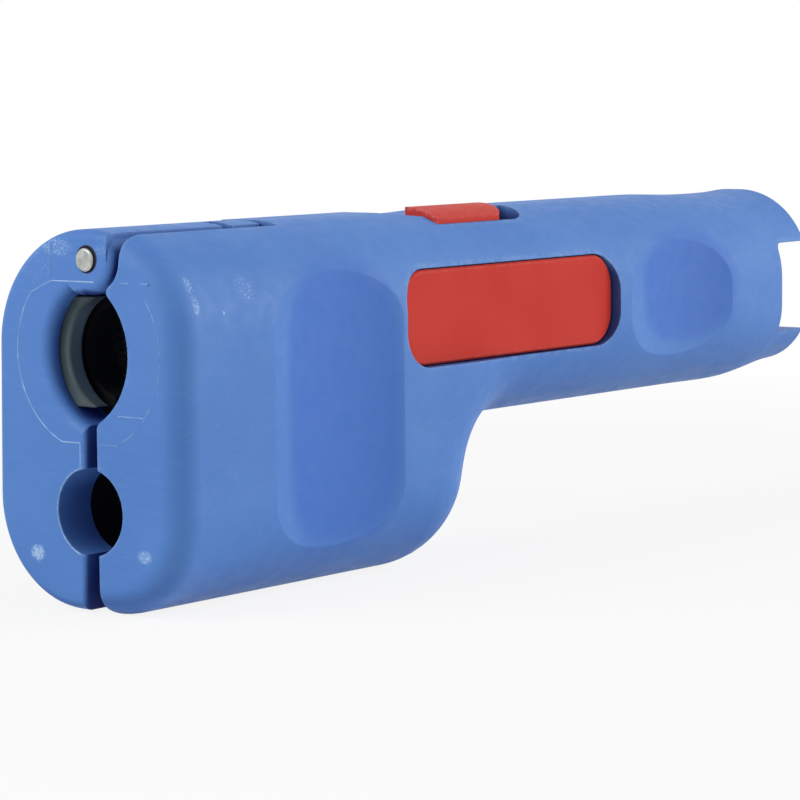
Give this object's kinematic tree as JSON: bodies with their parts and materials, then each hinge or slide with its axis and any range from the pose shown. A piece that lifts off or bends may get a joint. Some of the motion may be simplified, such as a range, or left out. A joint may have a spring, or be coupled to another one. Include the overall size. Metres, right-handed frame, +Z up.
{
  "type": "coaxial cable stripper",
  "caption": "Handheld coaxial cable stripper with a sprung hinged jaw, stepped blades behind two cable ports, a sliding length stop and a hexagon connector socket",
  "frame": {"origin": "On the surface under the head, below the middle of the tool's length and width", "axes": "+X from the front face with the ports to the handle end, +Y to the hinged jaw, +Z up to the hinge and slide"},
  "size_m": [0.1022, 0.0214, 0.0332],
  "materials": {
    "blue_plastic": "fine matt moulded blue",
    "red_plastic": "satin moulded red",
    "carrier_plastic": "matt black moulding",
    "pad_rubber": "matt slate grey",
    "pin_steel": "bright ground steel",
    "spring_steel": "drawn wire",
    "blade_steel": "ground blade steel"
  },
  "bodies": {
    "body": {"main_body": "blue_plastic", "hinge_pin": "pin_steel", "jaw_spring": "spring_steel", "label_plate": "red_plastic"},
    "jaw": {"hinged_jaw": "blue_plastic", "cable_pad": "pad_rubber", "blade_carrier": "carrier_plastic", "carrier_cover": "carrier_plastic", "carrier_screws": "pin_steel", "upper_jacket_blade": "blade_steel", "upper_core_blade": "blade_steel", "lower_jacket_blade": "blade_steel", "lower_core_blade": "blade_steel"},
    "slide": {"stop_slide": "red_plastic", "cable_stop": "carrier_plastic"}
  },
  "joints": [
    {"name": "jaw_hinge", "type": "hinge", "parent": "body", "child": "jaw", "pos_m": [-0.05087, -0.00022, 0.03026], "axis": [1, 0, 0], "range_deg": [-2.5, 35], "stiffness_Nm_per_rad": 0.08, "deforming": ["jaw_spring"]},
    {"name": "stop_slide_travel", "type": "slide", "parent": "body", "child": "slide", "axis": [1, 0, 0], "range_m": [0, 0.003]}
  ]
}
